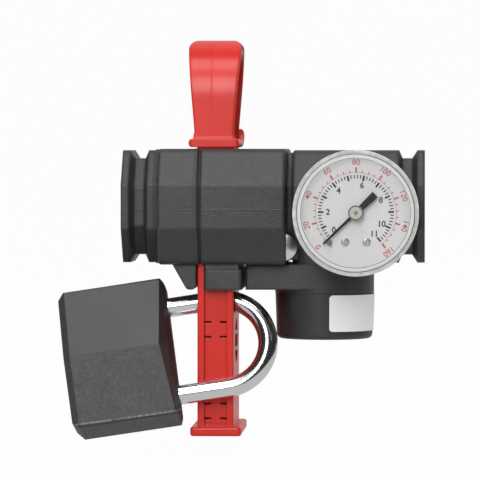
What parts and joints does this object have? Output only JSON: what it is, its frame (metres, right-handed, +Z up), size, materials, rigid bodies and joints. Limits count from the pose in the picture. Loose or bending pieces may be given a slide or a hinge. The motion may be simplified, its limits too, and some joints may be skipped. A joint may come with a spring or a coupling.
{
  "type": "modular lockout slide valve",
  "caption": "Compressed-air lockout slide valve with soft-start section, dial pressure gauge, red finger-loop slide and a padlock through the slide.",
  "frame": {"origin": "centre of the inlet port at its face", "axes": "+X along the air flow to the outlet, +Z up along the slide, front (gauge face) towards -Y"},
  "size_m": [0.1189, 0.0727, 0.1299],
  "materials": {
    "body_black": "satin black paint on die-cast zinc and aluminium",
    "screw_steel": "zinc plated",
    "seal_rubber": "matt",
    "slide_red": "glossy red acetal",
    "cap_black": "fine grained",
    "label_white": "printed film",
    "seat_white": "plain",
    "spring_steel": "bright wire",
    "chrome": "polished",
    "case_black": "gloss black steel",
    "lens_clear": "clear polycarbonate",
    "brass": "turned",
    "dial_white": "white enamel",
    "pointer_black": "matt black",
    "lock_black": "matt black powder coat on aluminium",
    "nickel": "nickel plated"
  },
  "bodies": {
    "valve": {"inlet_body": "body_black", "valve_block": "body_black", "soft_start_body": "body_black", "body_screws": "screw_steel", "ledge_screws": "screw_steel", "slide_seals": "seal_rubber", "joint_seal": "seal_rubber", "bottom_cap": "cap_black", "cap_seal": "seal_rubber", "cap_label": "label_white", "seat_ring": "seat_white", "poppet_spring": "spring_steel", "gauge_case": "case_black", "gauge_lens": "lens_clear", "gauge_socket": "brass", "bourdon_tube": "brass", "movement_plates": "brass", "hairspring": "brass", "gauge_dial": "dial_white", "dial_screws": "nickel"},
    "slide": {"lockout_slide": "slide_red"},
    "poppet": {"soft_start_poppet": "brass", "poppet_seal": "seal_rubber"},
    "throttle": {"throttle_screw": "chrome", "throttle_seal": "seal_rubber"},
    "needle": {"gauge_pointer": "pointer_black", "pointer_shaft": "brass"},
    "sector": {"sector_gear": "brass"},
    "link": {"gauge_link": "brass"},
    "lock_shackle": {"shackle": "chrome"},
    "lock_case": {"lock_body": "lock_black", "lock_cylinder": "brass", "driver_pins": "nickel"},
    "plug": {"lock_plug": "brass", "key_pins": "nickel", "lock_cam": "brass"},
    "toe_ball_body": {"toe_ball": "chrome"},
    "heel_ball_body": {"heel_ball": "chrome"}
  },
  "joints": [
    {"name": "slide_lift", "type": "slide", "parent": "valve", "child": "slide", "axis": [0, 0, 1], "range_m": [-0.0003, 0.0004]},
    {"name": "padlock_swing", "type": "hinge", "parent": "slide", "child": "lock_shackle", "pos_m": [0.03045, -0.0115, -0.0307], "axis": [-1, 0, 0], "range_deg": [0, 58]},
    {"name": "lock_release", "type": "slide", "parent": "lock_shackle", "child": "lock_case", "axis": [-0.9885, 0, -0.1513], "range_m": [0, 0.0125]},
    {"name": "plug_turn", "type": "hinge", "parent": "lock_case", "child": "plug", "pos_m": [-0.00698, -0.01648, -0.05053], "axis": [0.9885, 0, 0.1513], "range_deg": [-90, 0]},
    {"name": "toe_ball_throw", "type": "slide", "parent": "lock_case", "child": "toe_ball_body", "axis": [-0.1424, 0.3367, 0.9308], "range_m": [0, 0.001]},
    {"name": "heel_ball_throw", "type": "slide", "parent": "lock_case", "child": "heel_ball_body", "axis": [0.1424, -0.3367, -0.9308], "range_m": [0, 0.001]},
    {"name": "gauge_needle", "type": "hinge", "parent": "valve", "child": "needle", "pos_m": [0.0762, -0.041, -0.0016], "axis": [0, 1, 0], "range_deg": [0, 270], "stiffness_Nm_per_rad": 0.00004},
    {"name": "sector_turn", "type": "hinge", "parent": "valve", "child": "sector", "pos_m": [0.0762, -0.032, -0.0121], "axis": [0, 1, 0], "range_deg": [-45, 0]},
    {"name": "link_turn", "type": "hinge", "parent": "sector", "child": "link", "pos_m": [0.07723, -0.035, -0.01492], "axis": [0, 1, 0], "range_deg": [0, 45]},
    {"name": "poppet_lift", "type": "slide", "parent": "valve", "child": "poppet", "axis": [0, 0, 1], "range_m": [-0.003, 0], "stiffness_N_per_m": 400, "springref_m": 0.004, "deforming": ["poppet_spring"]},
    {"name": "throttle_turn", "type": "hinge", "parent": "valve", "child": "throttle", "pos_m": [0.0524, -0.017, -0.013], "axis": [0, -1, 0], "range_deg": [0, 1080]}
  ],
  "couplings": [
    {"joint": "toe_ball_throw", "follows": "plug_turn", "m_per_rad": -0.000636},
    {"joint": "heel_ball_throw", "follows": "plug_turn", "m_per_rad": -0.000636},
    {"joint": "sector_turn", "follows": "gauge_needle", "ratio": -0.16667},
    {"joint": "link_turn", "follows": "gauge_needle", "ratio": 0.16667}
  ]
}
